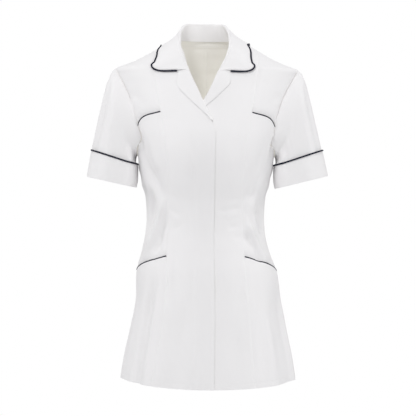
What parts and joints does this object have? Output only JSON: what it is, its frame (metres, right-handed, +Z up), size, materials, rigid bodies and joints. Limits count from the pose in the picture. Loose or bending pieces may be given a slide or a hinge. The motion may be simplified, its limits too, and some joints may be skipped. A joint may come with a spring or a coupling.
{
  "type": "medical tunic",
  "caption": "Short-sleeved white tunic with an open collar, piped pocket mouths and cuffs, filled out as worn with nobody inside.",
  "frame": {"origin": "on the centre line between the two neck points, level with the top of the shoulders, where the wearer holds it up", "axes": "+Z up, from the hem to the collar; -Y the way the wearer faces; +X towards the wearer's left"},
  "size_m": [0.4995, 0.272, 0.7478],
  "materials": {
    "white_cloth": "matt woven twill",
    "navy_piping": "matt covered cord"
  },
  "bodies": {
    "root": {"collar": "white_cloth", "front_centre_upper_left": "white_cloth", "front_centre_lower_left": "white_cloth", "side_front_upper_left": "white_cloth", "side_front_middle_left": "white_cloth", "side_front_lower_left": "white_cloth", "back_upper_left": "white_cloth", "back_lower_left": "white_cloth", "sleeve_left": "white_cloth", "cuff_left": "white_cloth", "revers_left": "white_cloth", "front_centre_upper_right": "white_cloth", "front_centre_lower_right": "white_cloth", "side_front_upper_right": "white_cloth", "side_front_middle_right": "white_cloth", "side_front_lower_right": "white_cloth", "back_upper_right": "white_cloth", "back_lower_right": "white_cloth", "sleeve_right": "white_cloth", "cuff_right": "white_cloth", "revers_right": "white_cloth", "piping_collar": "navy_piping", "piping_cuff_left": "navy_piping", "piping_breast_pocket_left": "navy_piping", "piping_hip_pocket_left": "navy_piping", "piping_cuff_right": "navy_piping", "piping_breast_pocket_right": "navy_piping", "piping_hip_pocket_right": "navy_piping"}
  },
  "joints": []
}
